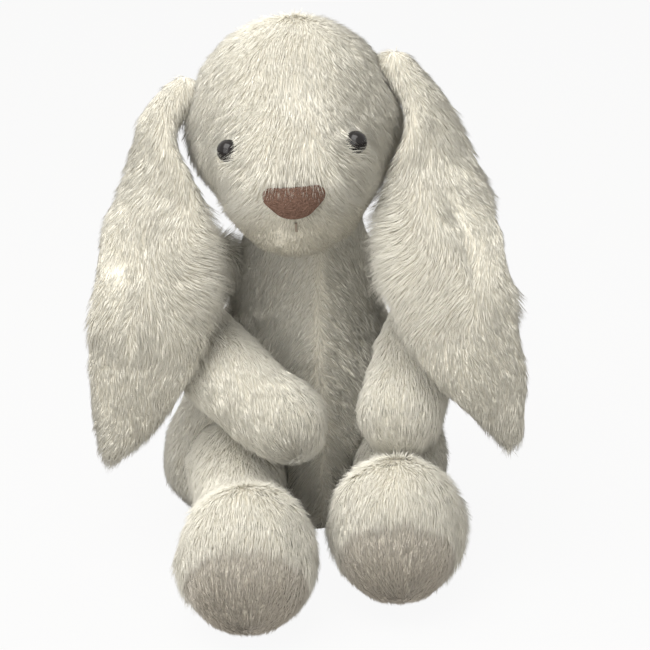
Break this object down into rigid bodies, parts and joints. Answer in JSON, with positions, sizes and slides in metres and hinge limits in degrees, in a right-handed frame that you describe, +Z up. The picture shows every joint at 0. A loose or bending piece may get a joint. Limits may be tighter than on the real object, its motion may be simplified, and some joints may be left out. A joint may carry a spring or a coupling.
{
  "type": "plush rabbit",
  "caption": "Seated soft rabbit with an egg-shaped head, long hanging ears, paws on its lap, round feet and a round tail, sewn from long-pile panels over stuffing",
  "frame": {"origin": "on the flat seat panel that the rabbit sits on", "axes": "+Z is up, the rabbit faces -Y and its left side is +X"},
  "size_m": [0.1803, 0.2187, 0.227],
  "materials": {
    "long_pile": "matte",
    "short_pile": "matte",
    "stuffing": "matte",
    "bean_pouch": "matte",
    "eye_plastic": "gloss",
    "flocked_nose": "matte",
    "washer_plastic": "satin",
    "thread": "matte"
  },
  "bodies": {
    "torso": {"torso_front_left": "long_pile", "torso_front_right": "long_pile", "torso_back": "long_pile", "seat_panel": "long_pile", "torso_stuffing": "stuffing", "seat_bean_pouch": "bean_pouch", "tail_skin": "long_pile", "tail_stuffing": "stuffing"},
    "head": {"head_gusset": "long_pile", "head_side_left": "long_pile", "head_side_right": "long_pile", "head_stuffing": "stuffing", "eye_left": "eye_plastic", "eye_right": "eye_plastic", "eye_washer_left": "washer_plastic", "eye_washer_right": "washer_plastic", "nose": "flocked_nose", "nose_washer": "washer_plastic", "mouth_stitch": "thread"},
    "ear_left": {"ear_back_left": "long_pile", "ear_lining_left": "short_pile"},
    "arm_left": {"arm_outer_left": "long_pile", "arm_inner_left": "long_pile", "arm_stuffing_left": "stuffing"},
    "leg_left": {"leg_upper_left": "long_pile", "foot_sole_left": "short_pile", "leg_stuffing_left": "stuffing", "foot_bean_pouch_left": "bean_pouch"},
    "ear_right": {"ear_back_right": "long_pile", "ear_lining_right": "short_pile"},
    "arm_right": {"arm_outer_right": "long_pile", "arm_inner_right": "long_pile", "arm_stuffing_right": "stuffing"},
    "leg_right": {"leg_upper_right": "long_pile", "foot_sole_right": "short_pile", "leg_stuffing_right": "stuffing", "foot_bean_pouch_right": "bean_pouch"}
  },
  "joints": [
    {"name": "head_nod", "type": "hinge", "parent": "torso", "child": "head", "pos_m": [-0.00775, 0.00013, 0.14], "axis": [-1, 0, 0], "range_deg": [0, 20]},
    {"name": "ear_lift_left", "type": "hinge", "parent": "head", "child": "ear_left", "pos_m": [0.0283, -0.01187, 0.20483], "axis": [0, -1, 0], "range_deg": [0, 90]},
    {"name": "ear_lift_right", "type": "hinge", "parent": "head", "child": "ear_right", "pos_m": [-0.05787, -0.01187, 0.19425], "axis": [0, 1, 0], "range_deg": [0, 90]},
    {"name": "arm_swing_left", "type": "hinge", "parent": "torso", "child": "arm_left", "pos_m": [0.03008, 0.0073, 0.118], "axis": [-0.584, -0.6424, -0.4964], "range_deg": [0, 15]},
    {"name": "arm_swing_right", "type": "hinge", "parent": "torso", "child": "arm_right", "pos_m": [-0.04673, -0.00009, 0.118], "axis": [-0.584, 0.6424, 0.4964], "range_deg": [0, 15]},
    {"name": "leg_splay_left", "type": "hinge", "parent": "torso", "child": "leg_left", "pos_m": [0.03277, -0.01496, 0.034], "axis": [0, 0, 1], "range_deg": [0, 25]},
    {"name": "leg_splay_right", "type": "hinge", "parent": "torso", "child": "leg_right", "pos_m": [-0.03864, -0.03013, 0.034], "axis": [0, 0, -1], "range_deg": [0, 25]}
  ]
}
